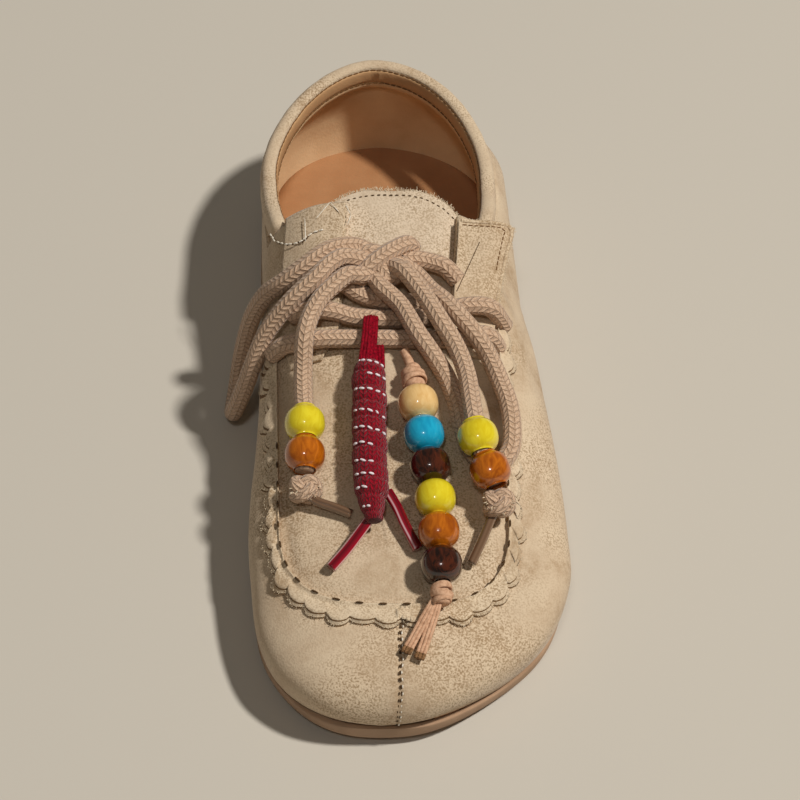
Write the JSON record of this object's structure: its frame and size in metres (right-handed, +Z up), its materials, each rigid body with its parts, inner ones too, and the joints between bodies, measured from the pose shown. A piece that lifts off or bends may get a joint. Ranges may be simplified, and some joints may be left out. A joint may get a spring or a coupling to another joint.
{
  "type": "moccasin-toe lace-up shoe",
  "caption": "Low left shoe in beige faux suede with a scalloped moccasin apron, padded collar, thin rubber sole, beaded round laces and two hanging charms.",
  "frame": {"origin": "on the floor under the middle of the shoe, half way along and half way across its sole", "axes": "+Z up, +Y from the toe to the heel, +X to the lateral side of this left shoe"},
  "size_m": [0.1086, 0.2498, 0.0677],
  "materials": {
    "suede": "matte beige faux suede, mottled nap, raw edges",
    "rubber_sole": "matte taupe-brown rubber",
    "insole_cover": "smooth brown leather-look cover",
    "lace_braid": "round diamond braid, pinkish beige",
    "thong_suede": "matte suede thong",
    "red_cord": "woven red cord with white flecks",
    "aglet": "brown wrapped tip under a thin clear sleeve",
    "bead_yellow": "glossy opaque yellow",
    "bead_amber": "glossy amber with darker grain",
    "bead_brown": "glossy dark brown with reddish grain",
    "bead_turquoise": "glossy opaque turquoise",
    "bead_natural": "lacquered light natural wood"
  },
  "bodies": {
    "root": {"outsole": "rubber_sole", "insole": "insole_cover", "upper": "suede", "tongue": "suede", "collar": "suede", "apron_rim": "suede", "eyestay_medial": "suede", "eyestay_lateral": "suede", "lace_row_front": "lace_braid", "lace_row_middle": "lace_braid", "lace_row_top": "lace_braid", "lace_row_knot": "lace_braid", "lace_knot": "lace_braid", "lace_loop_medial": "lace_braid", "lace_loop_lateral": "lace_braid", "lace_end_medial": "lace_braid", "lace_end_lateral": "lace_braid", "end_knot_medial": "lace_braid", "end_knot_lateral": "lace_braid", "aglet_medial": "aglet", "aglet_lateral": "aglet", "lace_bead_yellow_medial": "bead_yellow", "lace_bead_amber_medial": "bead_amber", "lace_bead_yellow_lateral": "bead_yellow", "lace_bead_amber_lateral": "bead_amber", "charm_thong": "thong_suede", "charm_knot_top": "thong_suede", "charm_bead_natural": "bead_natural", "charm_bead_turquoise": "bead_turquoise", "charm_bead_brown_upper": "bead_brown", "charm_bead_yellow": "bead_yellow", "charm_bead_amber": "bead_amber", "charm_bead_brown_lower": "bead_brown", "charm_knot_bottom": "thong_suede", "charm_tails": "thong_suede", "red_charm_loop": "red_cord", "red_charm_body": "red_cord", "red_charm_end_medial": "red_cord", "red_charm_end_lateral": "red_cord"}
  },
  "joints": []
}
